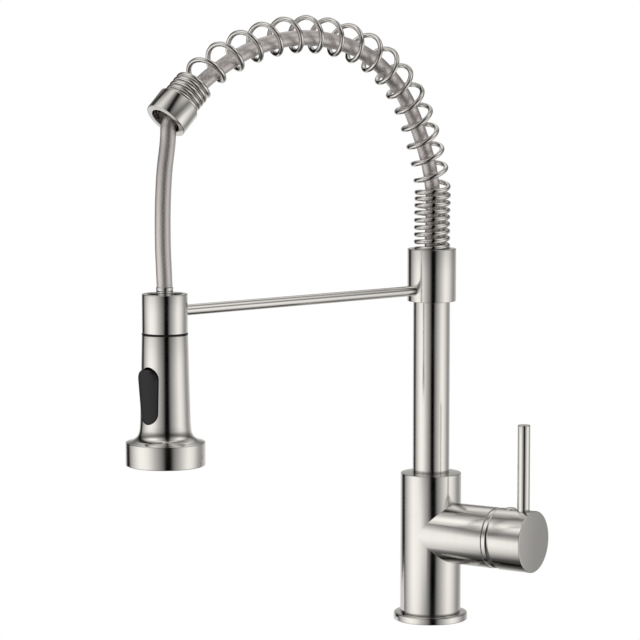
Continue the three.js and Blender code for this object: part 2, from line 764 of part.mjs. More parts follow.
function nozzleRing() {
  let ring = toSolid(sleeve(12, 22.5, 3.8, 5.3));
  for (const [x, y] of nozzleSpots()) {
    const nozzle = turned([[0, 0.2], [0.9, 0.2], [1.35, 4.5], [0, 4.5]], TINY).translate(x, y, 0);
    ring = ring.add(toSolid(nozzle));
  }
  return named('nozzle_ring', fromSolid(ring), rubber);
}

function aerator() {
  const rim = toSolid(sleeve(7.6, 9, 0.4, 9.5, SMALL));
  const bars = [[-3.6, 7.4], [0, 8.2], [3.6, 7.4]].flatMap(([offset, half]) => [
    box(2 * half, 0.8, 2, [0, offset, 2.5]),
    box(0.8, 2 * half, 1.6, [offset, 0, 2.5]),
  ]);
  return named('aerator', fromSolid(bars.reduce((left, bar) => left.add(toSolid(bar)), rim)), steel);
}

function diverter() {
  const body = turnedRing([
    [4.4, 9.9], [9, 9.9], [9, 10.9], [12, 10.9], [12, 20.5], [4.4, 20.5],
  ], SMALL);
  return named('diverter_body', body, whitePlastic);
}

// The nut sits inside the head's neck and the ferrule shows above the docking ring
const FERRULE_BOTTOM = 224.6;
const FERRULE_SHOULDER = 240.9;
const FERRULE_TOP = 245.9;

function hoseEnd() {
  const group = new THREE.Group();
  group.name = 'hose_end';
  group.position.y = -REACH;
  const ferrule = turnedRing([
    [3.2, FERRULE_BOTTOM], [4.4, FERRULE_BOTTOM], [4.4, FERRULE_SHOULDER], [5.6, FERRULE_SHOULDER],
    [5.6, FERRULE_TOP - 0.6], [5.2, FERRULE_TOP], [3.2, FERRULE_TOP],
  ], SMALL);
  const nut = sleeve(4.7, 5.9, FERRULE_BOTTOM + 2, FERRULE_BOTTOM + 11.5, SMALL);
  group.add(named('hose_ferrule', ferrule, steel));
  group.add(named('hose_nut', nut, brass));
  return group;
}

function sprayHead() {
  const group = new THREE.Group();
  group.name = 'spray_head';
  group.position.set(0, -REACH, HEAD_BOTTOM);
  group.rotation.z = BUTTON_TURN;
  group.add(headShell());
  group.add(buttonHousing());
  group.add(named('button_pin', pinThrough(BUTTON_PIN_R, 8.3), steel));
  group.add(sprayButton());
  group.add(sprayFace());
  group.add(nozzleRing());
  group.add(aerator());
  group.add(diverter());
  group.add(named('check_valve', sleeve(2.2, 5.8, 85.5, 93.1, SMALL), whitePlastic));
  return group;
}

const faucet = new THREE.Group();
faucet.name = 'pull_down_faucet';
faucet.add(belowDeck());
faucet.add(base());
faucet.add(valveAndHandle());
faucet.add(spout());
faucet.add(hoseEnd());
faucet.add(sprayHead());

export default faucet;
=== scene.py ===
import json
import math

import bmesh
import bpy
from mathutils import Matrix, Vector


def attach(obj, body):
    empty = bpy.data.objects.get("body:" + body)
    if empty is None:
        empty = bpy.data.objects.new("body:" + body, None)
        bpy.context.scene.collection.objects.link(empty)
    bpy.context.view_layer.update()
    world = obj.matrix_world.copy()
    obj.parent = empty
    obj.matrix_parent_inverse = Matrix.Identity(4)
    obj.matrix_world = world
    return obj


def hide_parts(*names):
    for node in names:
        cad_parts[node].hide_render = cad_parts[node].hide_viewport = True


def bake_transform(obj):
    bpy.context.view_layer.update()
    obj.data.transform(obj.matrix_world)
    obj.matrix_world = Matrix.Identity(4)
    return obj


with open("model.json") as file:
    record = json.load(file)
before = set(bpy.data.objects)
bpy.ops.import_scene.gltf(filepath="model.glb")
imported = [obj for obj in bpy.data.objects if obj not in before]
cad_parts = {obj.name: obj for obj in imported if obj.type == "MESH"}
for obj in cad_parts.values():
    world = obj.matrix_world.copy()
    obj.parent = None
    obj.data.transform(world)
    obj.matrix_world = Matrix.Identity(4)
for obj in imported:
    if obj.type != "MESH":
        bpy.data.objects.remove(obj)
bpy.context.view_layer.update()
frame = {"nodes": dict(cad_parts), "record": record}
MM = 0.001
# Distance from the riser's axis to the spray head's, in millimetres
REACH = 228.5

# ---------------------------------------------------------------- camera
CAMERA_AWAY = 2.056
CAMERA_HEIGHT = 0.4344
CAMERA_LEFT = 0.0769
CAMERA_AZIMUTH = math.radians(50.5)
CAMERA_PITCH = math.radians(6.26)
LENS = 168.75

toward = Vector((math.sin(CAMERA_AZIMUTH), -math.cos(CAMERA_AZIMUTH), 0))
image_right = Vector((math.cos(CAMERA_AZIMUTH), math.sin(CAMERA_AZIMUTH), 0))
camera_data = bpy.data.cameras.new("camera")
camera_data.lens = LENS
camera_data.sensor_width = 36
camera_data.clip_end = 100
camera = bpy.data.objects.new("camera", camera_data)
bpy.context.scene.collection.objects.link(camera)
camera.location = toward * CAMERA_AWAY - image_right * CAMERA_LEFT + Vector((0, 0, CAMERA_HEIGHT))
look = -toward * math.cos(CAMERA_PITCH) - Vector((0, 0, 1)) * math.sin(CAMERA_PITCH)
camera.rotation_euler = look.to_track_quat("-Z", "Y").to_euler()
bpy.context.scene.camera = camera


# ---------------------------------------------------------------- lines
def catmull(points, per_span):
    """A smooth line through (out, height) points in millimetres, as points in metres."""
    pts = [Vector((0, -out * MM, z * MM)) for out, z in points]
    pts = [pts[0] * 2 - pts[1]] + pts + [pts[-1] * 2 - pts[-2]]
    line = []
    for i in range(1, len(pts) - 2):
        p0, p1, p2, p3 = pts[i - 1 : i + 3]
        t0 = 0.0
        t1 = t0 + (p1 - p0).length ** 0.5
        t2 = t1 + (p2 - p1).length ** 0.5
        t3 = t2 + (p3 - p2).length ** 0.5
        for k in range(per_span):
            t = t1 + (t2 - t1) * k / per_span
            a1 = p0 * ((t1 - t) / (t1 - t0)) + p1 * ((t - t0) / (t1 - t0))
            a2 = p1 * ((t2 - t) / (t2 - t1)) + p2 * ((t - t1) / (t2 - t1))
            a3 = p2 * ((t3 - t) / (t3 - t2)) + p3 * ((t - t2) / (t3 - t2))
            b1 = a1 * ((t2 - t) / (t2 - t0)) + a2 * ((t - t0) / (t2 - t0))
            b2 = a2 * ((t3 - t) / (t3 - t1)) + a3 * ((t - t1) / (t3 - t1))
            line.append(b1 * ((t2 - t) / (t2 - t1)) + b2 * ((t - t1) / (t2 - t1)))
    line.append(pts[-2])
    return line


def even(line, step):
    """The same line with its points an even step apart."""
    travel = [0.0]
    for a, b in zip(line, line[1:]):
        travel.append(travel[-1] + (b - a).length)
    count = max(2, round(travel[-1] / step))
    out, j = [], 0
    for i in range(count + 1):
        want = travel[-1] * i / count
        while j < len(line) - 2 and travel[j + 1] < want:
            j += 1
        span = travel[j + 1] - travel[j]
        out.append(line[j].lerp(line[j + 1], (want - travel[j]) / span if span else 0))
    return out


def length_of(line):
    return sum((b - a).length for a, b in zip(line, line[1:]))


# ---------------------------------------------------------------- mesh makers
# Edges sharper than this many degrees are shaded as edges
SHARP = 32
SHARP_ON_TUBES = 50
# An outline's corner flatter than this isn't rounded, and a rounding takes at most this share of a side
NEARLY_STRAIGHT = math.radians(172)
LARGEST_SHARE = 0.45
TOUCHING = 1e-7


def shade(obj, sharp=SHARP):
    obj.data.polygons.foreach_set("use_smooth", [True] * len(obj.data.polygons))
    obj.data.set_sharp_from_angle(angle=math.radians(sharp))


def made(name, verts, faces, uvs=None, sharp=SHARP):
    mesh = bpy.data.meshes.new(name)
    mesh.from_pydata([tuple(v) for v in verts], [], faces)
    if uvs:
        layer = mesh.uv_layers.new(name="UVMap")
        for poly in mesh.polygons:
            for corner, loop in enumerate(poly.loop_indices):
                layer.data[loop].uv = uvs[poly.index][corner]
    mesh.validate()
    obj = bpy.data.objects.new(name, mesh)
    shade(obj, sharp)
    bpy.context.scene.collection.objects.link(obj)
    return obj


def edit_mesh(obj, operate):
    work = bmesh.new()
    work.from_mesh(obj.data)
    operate(work)
    work.to_mesh(obj.data)
    work.free()


def apply_modifiers(obj):
    bpy.context.view_layer.update()
    graph = bpy.context.evaluated_depsgraph_get()
    mesh = bpy.data.meshes.new_from_object(obj.evaluated_get(graph))
    obj.modifiers.clear()
    old = obj.data
    obj.data = mesh
    bpy.data.meshes.remove(old)


def fillet(points, radius, steps=4, closed=True):
    """The outline with its corners rounded. A point (r, z, 0) stays sharp; (r, z, x) is rounded by x."""
    out = []
    n = len(points)
    for i, p in enumerate(points):
        own = p[2] if len(p) > 2 else radius
        here = Vector(p[:2])
        if own <= 0 or (not closed and i in (0, n - 1)):
            out.append(here)
            continue
        before = Vector(points[i - 1][:2]) - here
        after = Vector(points[(i + 1) % n][:2]) - here
        if before.length < 1e-6 or after.length < 1e-6:
            continue
        if before.angle(after) > NEARLY_STRAIGHT:
            out.append(here)
            continue
        cut = min(own, before.length * LARGEST_SHARE, after.length * LARGEST_SHARE)
        a = here + before.normalized() * cut
        b = here + after.normalized() * cut
        for k in range(steps + 1):
            t = k / steps
            out.append(a * (1 - t) ** 2 + here * 2 * t * (1 - t) + b * t * t)
    return out


def lathe(name, points, seg=128, radius=0.25, closed=True):
    """Turned about +Z from an outline of (radius, height) in millimetres, counter-clockwise."""
    outline = fillet(points, radius, closed=closed)
    n = len(outline)
    travel = [0.0]
    for i in range(1, n + 1):
        travel.append(travel[-1] + (outline[i % n] - outline[i - 1]).length)
    verts, faces, uvs = [], [], []
    for s in range(seg):
        a = 2 * math.pi * s / seg
        for r, z in outline:
            verts.append((r * MM * math.cos(a), r * MM * math.sin(a), z * MM))
    last = n if closed else n - 1
    for s in range(seg):
        t = (s + 1) % seg
        u0, u1 = s / seg, (s + 1) / seg
        for i in range(last):
            j = (i + 1) % n
            v0, v1 = travel[i] * MM, travel[i + 1] * MM
            ring = [s * n + i, t * n + i, t * n + j, s * n + j]
            uv = [(u0, v0), (u1, v0), (u1, v1), (u0, v1)]
            if outline[i][0] < TOUCHING:
                ring, uv = [ring[0], ring[2], ring[3]], [uv[0], uv[2], uv[3]]
            elif outline[j][0] < TOUCHING:
                ring, uv = ring[:3], uv[:3]
            faces.append(ring)
            uvs.append(uv)
    obj = made(name, verts, faces, uvs)
    if not closed:
        edit_mesh(obj, lambda work: bmesh.ops.remove_doubles(work, verts=work.verts, dist=TOUCHING))
        shade(obj)
    return obj


def bar(name, radius, bottom, top, seg=64, edge=0.3):
    points = [(0, bottom), (radius, bottom), (radius, top), (0, top)]
    return lathe(name, points, seg, edge, closed=False)


def tube(name, line, radius, sides, shape=None):
    """A closed tube along the line. shape(i, a) scales the radius at ring i and angle a."""
    verts, faces, uvs = [], [], []
    tangent = (line[1] - line[0]).normalized()
    side = Vector((1, 0, 0))
    side = (side - tangent * side.dot(tangent)).normalized()
    travel = 0.0
    travels = []
    for i, point in enumerate(line):
        if i:
            travel += (point - line[i - 1]).length
        travels.append(travel)
        ahead = line[min(i + 1, len(line) - 1)] - line[max(i - 1, 0)]
        tangent = ahead.normalized()
        side = (side - tangent * side.dot(tangent)).normalized()
        up = tangent.cross(side)
        for k in range(sides):
            a = 2 * math.pi * k / sides
            r = radius * (shape(i, a) if shape else 1)
            verts.append(point + side * (r * math.cos(a)) + up * (r * math.sin(a)))
    for i in range(len(line) - 1):
        for k in range(sides):
            m = (k + 1) % sides
            faces.append([i * sides + k, i * sides + m, (i + 1) * sides + m, (i + 1) * sides + k])
            u0, u1 = k / sides, (k + 1) / sides
            v0, v1 = travels[i], travels[i + 1]
            uvs.append([(u0, v0), (u1, v0), (u1, v1), (u0, v1)])
    for ring, flip in ((0, True), (len(line) - 1, False)):
        loop = [ring * sides + k for k in range(sides)]
        faces.append(loop[::-1] if flip else loop)
        uvs.append([(0, 0)] * sides)
    return made(name, verts, faces, uvs, SHARP_ON_TUBES)


def prism(name, outline, depth):
    """An outline of (x, z) in millimetres pushed from y = 0 to y = -depth."""
    n = len(outline)
    verts = [(x * MM, 0, z * MM) for x, z in outline]
    verts += [(x * MM, -depth * MM, z * MM) for x, z in outline]
    faces = [list(range(n))[::-1], list(range(n, 2 * n))]
    for i in range(n):
        j = (i + 1) % n
        faces.append([i, j, n + j, n + i])
    obj = made(name, verts, faces)
    edit_mesh(obj, lambda work: bmesh.ops.recalc_face_normals(work, faces=work.faces))
    return obj


def stadium(width, height, steps=16):
    """An upright outline of (x, z) with half-round ends."""
    r = width / 2
    half = height / 2 - r
    points = []
    for start, middle in ((0, half), (math.pi, -half)):
        for k in range(steps + 1):
            a = start + math.pi * k / steps
            points.append((r * math.cos(a), middle + r * math.sin(a)))
    return points


def move(obj, matrix):
    obj.data.transform(matrix)
    return obj


def combine(obj, others, operation):
    """obj with the other meshes cut away, added or kept in common; the others are used up."""
    for other in others:
        modifier = obj.modifiers.new("boolean", "BOOLEAN")
        modifier.operation = operation
        modifier.solver = "EXACT"
        modifier.object = other
        apply_modifiers(obj)
        spare = other.data
        bpy.data.objects.remove(other)
        bpy.data.meshes.remove(spare)
    shade(obj)
    return obj


def without(obj, *others):
    return combine(obj, others, "DIFFERENCE")


def soften(obj, width, segments=2, angle=35):
    """Rounds the sharp edges and keeps the flat faces flat."""
    bevel = obj.modifiers.new("bevel", "BEVEL")
    bevel.width = width * MM
    bevel.segments = segments
    bevel.limit_method = "ANGLE"
    bevel.angle_limit = math.radians(angle)
    bevel.harden_normals = True
    apply_modifiers(obj)
    return obj


def block(low, high):
    """A box between two corners, in metres."""
    bpy.ops.mesh.primitive_cube_add(size=1)
    obj = bpy.context.object
    middle = [(a + b) / 2 for a, b in zip(low, high)]
    sides = [b - a for a, b in zip(low, high)]
    obj.data.transform(Matrix.Translation(middle) @ Matrix.Diagonal((*sides, 1)))
    return obj


# ---------------------------------------------------------------- materials
def new_material(name, color, metallic, roughness):
    material = bpy.data.materials.new(name)
    material.use_nodes = True
    shader = material.node_tree.nodes["Principled BSDF"]
    shader.inputs["Base Color"].default_value = (*color, 1)
    shader.inputs["Metallic"].default_value = metallic
    shader.inputs["Roughness"].default_value = roughness
    return material, material.node_tree, shader


def add(tree, kind, **values):
    node = tree.nodes.new(kind)
    for key, value in values.items():
        setattr(node, key, value)
    return node


def math_step(tree, operation, *values):
    node = add(tree, "ShaderNodeMath", operation=operation)
    for socket, value in zip(node.inputs, values):
        if isinstance(value, (int, float)):
            socket.default_value = value
        else:
            tree.links.new(value, socket)
    return node.outputs[0]


def ramp(tree, source, stops):
    node = add(tree, "ShaderNodeValToRGB")
    elements = node.color_ramp.elements
    while len(elements) > 1:
        elements.remove(elements[-1])
    elements[0].position = stops[0][0]
    elements[0].color = (*stops[0][1], 1)
    for position, color in stops[1:]:
        elements.new(position).color = (*color, 1)
    tree.links.new(source, node.inputs["Fac"])
    return node.outputs["Color"]


def noise(tree, coordinates, scale, stretch, detail=3.0):
    mapping = add(tree, "ShaderNodeMapping")
    mapping.inputs["Scale"].default_value = stretch
    tree.links.new(coordinates, mapping.inputs["Vector"])
    node = add(tree, "ShaderNodeTexNoise")
    node.inputs["Scale"].default_value = scale
    node.inputs["Detail"].default_value = detail
    tree.links.new(mapping.outputs["Vector"], node.inputs["Vector"])
    return node.outputs["Fac"]


def bump(tree, height, strength, distance, shader):
    node = add(tree, "ShaderNodeBump")
    node.inputs["Strength"].default_value = strength
    node.inputs["Distance"].default_value = distance
    tree.links.new(height, node.inputs["Height"])
    tree.links.new(node.outputs["Normal"], shader.inputs["Normal"])


def shades(color, spread):
    low = tuple(max(0, c * (1 - spread)) for c in color)
    high = tuple(min(1, c * (1 + spread)) for c in color)
    return [(0.3, low), (0.7, high)]


def metal(name, color, roughness, grain, spread=0.02, wobble=0.03):
    """Brushed metal: fine lines round the turned part, faint smudges in the gloss."""
    material, tree, shader = new_material(name, color, 1, roughness)
    uv = add(tree, "ShaderNodeTexCoord").outputs["UV"]
    lines = noise(tree, uv, 1.0, (6, grain, 1), 2.0)
    tree.links.new(ramp(tree, lines, shades(color, spread)), shader.inputs["Base Color"])
    place = add(tree, "ShaderNodeTexCoord").outputs["Object"]
    smudge = noise(tree, place, 45.0, (1, 1, 1), 4.0)
    low, high = roughness - wobble, roughness + wobble
    gloss = ramp(tree, smudge, [(0.3, (low,) * 3), (0.75, (high,) * 3)])
    tree.links.new(gloss, shader.inputs["Roughness"])
    bump(tree, lines, 0.015, 0.0002, shader)
    return material


def moulded(name, color, roughness, grain=900.0, depth=0.12, gloss=0.5):
    """Plastic or rubber with a fine moulded grain."""
    material, tree, shader = new_material(name, color, 0, roughness)
    place = add(tree, "ShaderNodeTexCoord").outputs["Object"]
    speck = noise(tree, place, grain, (1, 1, 1), 2.0)
    tree.links.new(ramp(tree, speck, shades(color, 0.12)), shader.inputs["Base Color"])
    low, high = roughness - 0.06, roughness + 0.06
    dull = ramp(tree, speck, [(0.3, (low,) * 3), (0.7, (high,) * 3)])
    tree.links.new(dull, shader.inputs["Roughness"])
    bump(tree, speck, depth, 0.0001, shader)
    shader.inputs["Specular IOR Level"].default_value = gloss
    return material


# The braid: bands round the hose, the travel in which a band goes once round, and strands in a band
BANDS = 12
LAY = 0.036
STRANDS = 4


def braid(name, color, upright):
    """Woven wire: two sets of bands crossing at a slant, each of a few parallel strands, with painted
    shade darkening the low places between the strands.
    """
    material, tree, shader = new_material(name, color, 1, 0.42)

    def step(operation, *values):
        return math_step(tree, operation, *values)

    def band(value):
        wave = step("ABSOLUTE", step("SINE", step("MULTIPLY", value, math.pi)))
        strand = step("SINE", step("MULTIPLY", value, 2 * math.pi * STRANDS))
        return step("ADD", wave, step("MULTIPLY_ADD", strand, 0.18, 0.5))

    coordinates = add(tree, "ShaderNodeTexCoord")
    split = add(tree, "ShaderNodeSeparateXYZ")
    tree.links.new(coordinates.outputs["UV"], split.inputs[0])
    travel = split.outputs["Y"]
    if upright:
        place = add(tree, "ShaderNodeSeparateXYZ")
        tree.links.new(coordinates.outputs["Object"], place.inputs[0])
        travel = place.outputs["Z"]
    around = step("MULTIPLY", split.outputs["X"], BANDS)
    along = step("MULTIPLY", travel, BANDS / LAY)
    height = step("MAXIMUM", band(step("ADD", around, along)), band(step("SUBTRACT", around, along)))
    # Painted shade: the colour runs from the full braid colour on the strands' tops, through a warm half
    # shade, to dark in the gaps between them
    groove_shade = tuple(c * 0.42 for c in color)
    warm_half_shade = (color[0] * 0.93, color[1] * 0.86, color[2] * 0.86)
    shaded_weave_colors = ramp(tree, height, [(0.30, groove_shade), (0.72, warm_half_shade), (1.0, color)])
    tree.links.new(shaded_weave_colors, shader.inputs["Base Color"])
    bump(tree, height, 0.22, 0.0004, shader)
    return material


BRAID = (0.84, 0.80, 0.79)
materials = {
    "brushed nickel": metal("brushed nickel", (0.80, 0.785, 0.76), 0.15, 2600),
    "spring steel": metal("spring steel", (0.80, 0.78, 0.76), 0.06, 900, wobble=0.02),
    "steel": metal("steel", (0.72, 0.71, 0.70), 0.22, 1800),
    "brass": metal("brass", (0.71, 0.55, 0.27), 0.28, 1800),
    "black plastic": moulded("black plastic", (0.012, 0.012, 0.013), 0.36, gloss=0.28),
    "white plastic": moulded("white plastic", (0.78, 0.78, 0.75), 0.45),
    "rubber": moulded("rubber", (0.014, 0.014, 0.015), 0.62, 1400.0, 0.2),
    "hose braid": braid("hose braid", BRAID, False),
}
braid_upright = braid("hose braid upright", BRAID, True)

for part in frame["record"]["subparts"]:
    node = frame["nodes"][part["node"]]
    node.data.materials.clear()
    node.data.materials.append(materials[part["material_slot"]])


def finish(obj, body, slot, node):
    """Gives a piece its material and the body it rides on, and hides the CAD node it stands for."""
    obj.data.materials.clear()
    obj.data.materials.append(materials[slot])
    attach(obj, body)
    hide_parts(node)
    return obj


# ---------------------------------------------------------------- hose
HOSE = [
    (0, -62), (0, 102), (0, 252), (0, 302), (9.5, 333), (29.5, 368), (62, 393),
    (109.5, 403.6), (154, 397.6), (188, 382), (206.6, 368.6), (217.4, 357.6), (224.3, 350.1),
    (225.1, 342.4), (225.7, 336.4), (228.1, 320.4), (229.6, 297.4), (229.7, 272.4),
    (229, 256.4), (228.5, 246.3),
]
# Travel along the line where the free stretch starts, inside the spring's end fitting
HOSE_EXIT = 0.655
HOSE_R = 0.0051
HOSE_SIDES = 40
hose_line = even(catmull(HOSE, 24), 0.0025)
split_at = round(HOSE_EXIT / (length_of(hose_line) / (len(hose_line) - 1)))
finish(
    tube("hose_over_arch", hose_line[: split_at + 1], HOSE_R, HOSE_SIDES),
    "spout", "hose braid", "spray_hose",
)
free_line = hose_line[split_at:]
# A hair thinner, so that the two stretches don't share a surface where they meet
free = tube("hose_free_stretch", free_line, HOSE_R * 0.999, HOSE_SIDES)
free.data.materials.append(braid_upright)
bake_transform(free)
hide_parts("spray_hose_free_end")

# ---------------------------------------------------------------- spring
ARCH = [
    (0, 253.2), (0, 278), (0, 302.4), (8.5, 333.8), (27.9, 369.8), (61, 395.2),
    (109.5, 406), (155, 400.2), (190, 385.2), (207.4, 371.4), (219.8, 359.5),
]
SPRING_R = 0.01095
WIRE_R = 0.0017
# Close coils over the collar and at the tip, and open ones between, whose pitch grows over a span
LOWER_LENGTH = 0.046
LOWER_PITCH = 0.0049
TIP_LENGTH = 0.021
TIP_PITCH = 0.0035
OPEN_PITCH = (0.012, 0.0177)
GROWTH = 0.0065
GROWTH_SPAN = 0.15
# Turns from the +X side to where the wire starts
START_TURN = -0.36


def spring_pitch(travel, whole):
    if travel < LOWER_LENGTH:
        return LOWER_PITCH
    if travel > whole - TIP_LENGTH:
        return TIP_PITCH
    return min(OPEN_PITCH[1], OPEN_PITCH[0] + GROWTH * (travel - LOWER_LENGTH) / GROWTH_SPAN)


def spring_line(per_turn):
    arch = even(catmull(ARCH, 30), 0.0001)
    whole = length_of(arch)
    small = whole / (len(arch) - 1)
    turns, wanted, points = 0.0, 0.0, []
    for i, centre in enumerate(arch):
        if turns >= wanted:
            tangent = (arch[min(i + 1, len(arch) - 1)] - arch[max(i - 1, 0)]).normalized()
            side = Vector((1, 0, 0))
            up = tangent.cross(side).normalized()
            a = 2 * math.pi * (turns + START_TURN)
            points.append(centre + side * (SPRING_R * math.cos(a)) + up * (SPRING_R * math.sin(a)))
            wanted += 1 / per_turn
        turns += small / spring_pitch(i * small, whole)
    return points


finish(
    tube("arch_spring", spring_line(40), WIRE_R, 12),
    "spout", "spring steel", "coil_spring",
)

# ---------------------------------------------------------------- riser, collar, arm, ring
quarter = Matrix.Rotation(math.radians(90), 4, "X")
lie = Matrix.Rotation(math.radians(90), 4, "Y")
arm_level = Matrix.Translation((0, 0, 0.2301))
out_there = Matrix.Translation((0, -REACH * MM, 0))
finish(
    lathe("riser", [
        (10.75, 83.3), (12.75, 83.3), (12.75, 85.7), (11.9, 85.7), (11.9, 89.7), (12.75, 89.7),
        (12.75, 251.4), (10.75, 251.4)]),
    "spout", "brushed nickel", "riser_tube",
)
collar = lathe("collar", [(12.95, 222.2), (16.8, 222.2, 0.5), (16.8, 258.4, 0.5), (12.95, 258.4)])
without(
    collar,
    move(bar("cut", 3.52, 10, 20), arm_level @ quarter),
    move(bar("cut", 2.1, -20, -10), arm_level @ quarter),
)
finish(collar, "spout", "brushed nickel", "support_collar")


def set_screw(name, start, end):
    """A set screw of 4 mm with a six-sided socket, along +Z."""
    r, key = 2.0, 1.0
    outline = [(0, start), (r - 0.6, start), (r, start + 0.7), (r, end), (0, end)]
    screw = lathe(name, outline, 48, 0.15, closed=False)
    return without(screw, bar("cut", key, end - 2, end + 1, 6, 0))


finish(
    move(set_screw("collar_screw", 13.05, 16.1), arm_level @ Matrix.Rotation(math.radians(-90), 4, "X")),
    "spout", "steel", "collar_set_screw",
)
finish(
    move(bar("arm", 3.5, 13.35, 215.4, 64), arm_level @ quarter),
    "spout", "brushed nickel", "support_arm",
)
ring = lathe("dock_ring", [
    (12.9, 216.7), (14.75, 216.7, 0.35), (14.75, 241.7, 0.45), (11.2, 241.7, 0.4), (11.2, 239.3),
    (12.9, 239.3)])
move(ring, out_there)
without(ring, move(bar("cut", 3.52, -20, -10), out_there @ arm_level @ quarter))
finish(ring, "spout", "brushed nickel", "docking_ring")
liner = lathe("dock_liner", [
    (11.4, 215.8), (14.95, 215.8), (14.95, 216.4), (12.6, 216.4), (12.6, 239), (10.3, 239)], radius=0.15)
finish(move(liner, out_there), "spout", "black plastic", "dock_insert")
tip = lathe("arch_end", [
    (10.1, -7.75, 0.4), (14.25, -7.75, 0.5), (14.25, 7.75, 0.5), (12.8, 7.75, 0.3), (12.8, 0.5),
    (10.1, 0.5)])
move(tip, Matrix.Translation((0, -0.2217, 0.3576)) @ Matrix.Rotation(math.radians(-45), 4, "X"))
finish(tip, "spout", "brushed nickel", "spring_end_fitting")

# ---------------------------------------------------------------- base and body
HANDLE_TURN = math.radians(17.5)
handle_frame = Matrix.Rotation(HANDLE_TURN, 4, "Z") @ Matrix.Translation((0, 0, 0.0618))
lie_out = handle_frame @ lie
screw_place = Matrix.Translation((0, 0, 0.0877)) @ Matrix.Rotation(math.radians(140), 4, "Z") @ lie

body = lathe("body_post", [(0, 5.15), (21, 5.15, 0.3), (21, 102.7, 0.5), (0, 102.7)], 160, closed=False)
housing = lathe("housing", [(0, 0), (20.98, 0, 0), (20.98, 51.7, 0.4), (0, 51.7)], 160, closed=False)
combine(body, [move(housing, lie_out)], "UNION")
without(
    body,
    bar("cut", 16.3, 0, 14, 96, 0),
    bar("cut", 13.9, 10, 30, 96, 0),
    bar("cut", 6, 25, 90, 64, 0),
    bar("cut", 15.6, 82.7, 107, 128, 0),
    move(bar("cut", 17.8, 12, 60, 128, 0), lie_out),
    move(bar("cut", 2.1, 15, 24), screw_place),
)
finish(body, "faucet_base", "brushed nickel", "faucet_body")
finish(
    lathe("riser_trim", [(12.85, 99.7), (15.57, 99.7), (15.57, 102.7), (12.85, 102.7, 0.15)], 128, 0.05),
    "faucet_base", "brushed nickel", "riser_retaining_ring",
)
finish(
    lathe("flange", [
        (16.6, 0), (18, 0), (18, 1.6), (23.6, 1.6), (23.6, 0), (25.6, 0, 0.5), (25.6, 5, 1.1),
        (16.6, 5)], 160),
    "faucet_base", "brushed nickel", "base_flange",
)
finish(
    move(set_screw("swivel_screw", 12.25, 20.3), screw_place),
    "faucet_base", "steel", "swivel_set_screw",
)

# ---------------------------------------------------------------- below the deck
below = []


def below_deck(obj, slot, node):
    below.append(finish(obj, "faucet_base", slot, node))


thread = []
z = -60.0
while z < -18:
    thread += [(15.1, z, 0), (16, z + 1.0, 0), (16, z + 1.3, 0)]
    z += 2.0
shank = [(13.8, -60, 0), *thread, (15.1, -18, 0), (16, -17), (16, 13.7), (13.8, 13.7)]
below_deck(lathe("shank", shank, 96), "brass", "mounting_shank")
for name, bottom, top, edge, slot, node in (
    ("rubber_washer", -33, -30, 0.5, "rubber", "mounting_washer_rubber"),
    ("metal_washer", -35.3, -33.3, 0.25, "steel", "mounting_washer_metal"),
):
    outline = [(16.3, bottom), (24.5, bottom), (24.5, top), (16.3, top)]
    below_deck(lathe(name, outline, 96, edge), slot, node)

# Two screws through the nut tighten it against the washers
SCREW_OUT = 0.0202
nut = bar("lock_nut", 24, -46, -35.6, 6, 0)
screw_holes = [
    move(bar("cut", 2.2, -50, -30, 32, 0), Matrix.Translation((0, side * SCREW_OUT, 0)))
    for side in (-1, 1)
]
soften(without(nut, bar("cut", 16.3, -50, -30, 96, 0), *screw_holes), 0.4)
below_deck(nut, "brass", "mounting_nut")
for name, side, node in (
    ("screw_one", -1, "tightening_screw_left"),
    ("screw_two", 1, "tightening_screw_right"),
):
    outline = [(0, -54), (3.4, -54, 0.5), (3.4, -51), (1.9, -51), (1.9, -35.6), (0, -35.6)]
    screw = lathe(name, outline, 48, 0.2, closed=False)
    without(screw, block((-0.004, -0.0005, -0.0552), (0.004, 0.0005, -0.0528)))
    below_deck(move(screw, Matrix.Translation((0, side * SCREW_OUT, 0))), "steel", node)

TAIL_OUT = 0.0102
TAIL = [
    (1.9, -84), (4.4, -84, 0.8), (4.4, -81.5), (4.1, -81, 0), (4.4, -80.5), (4.4, -78.5), (4.1, -78, 0),
    (4.4, -77.5), (4.4, -75), (3.1, -74), (3.1, 23.5), (1.9, 23.5),
]
for name, bearing in (("hot_inlet", 70), ("cold_inlet", -70), ("mixed_outlet", 128)):
    a = HANDLE_TURN + math.radians(bearing)
    tail = lathe(name + "_tail", TAIL, 48, 0.2)
    move(tail, Matrix.Translation((TAIL_OUT * math.cos(a), TAIL_OUT * math.sin(a), 0)))
    below_deck(tail, "brass", name)

# ---------------------------------------------------------------- handle
# The lever tilts about a point on the housing's axis; the bonnet and the cap's hollow are domes round it
TILT_X = 40.0
CAP_R = 21.2
CAP_START = 55.6
CAP_END = 81.6
CAP_SLANT = math.radians(5)
rod_place = Matrix.Translation((0.0734, 0, 0))
plug_place = Matrix.Translation((0.0635, 0, 0))


def dome(radius, start, end, steps):
    points = []
    for i in range(steps + 1):
        x = start + (end - start) * i / steps
        points.append((math.sqrt(radius ** 2 - (x - TILT_X) ** 2), x, 0))
    return points


bonnet = lathe("bonnet", [
    (15.5, 50.4), (17.5, 50.4), (17.5, 52, 0), (20.7, 52, 0.3),
    *dome(25.4, 54.72, 61.26, 24), *dome(23.4, 58.82, 57.53, 4)])
finish(move(bonnet, lie_out), "faucet_base", "brushed nickel", "bonnet_dome")

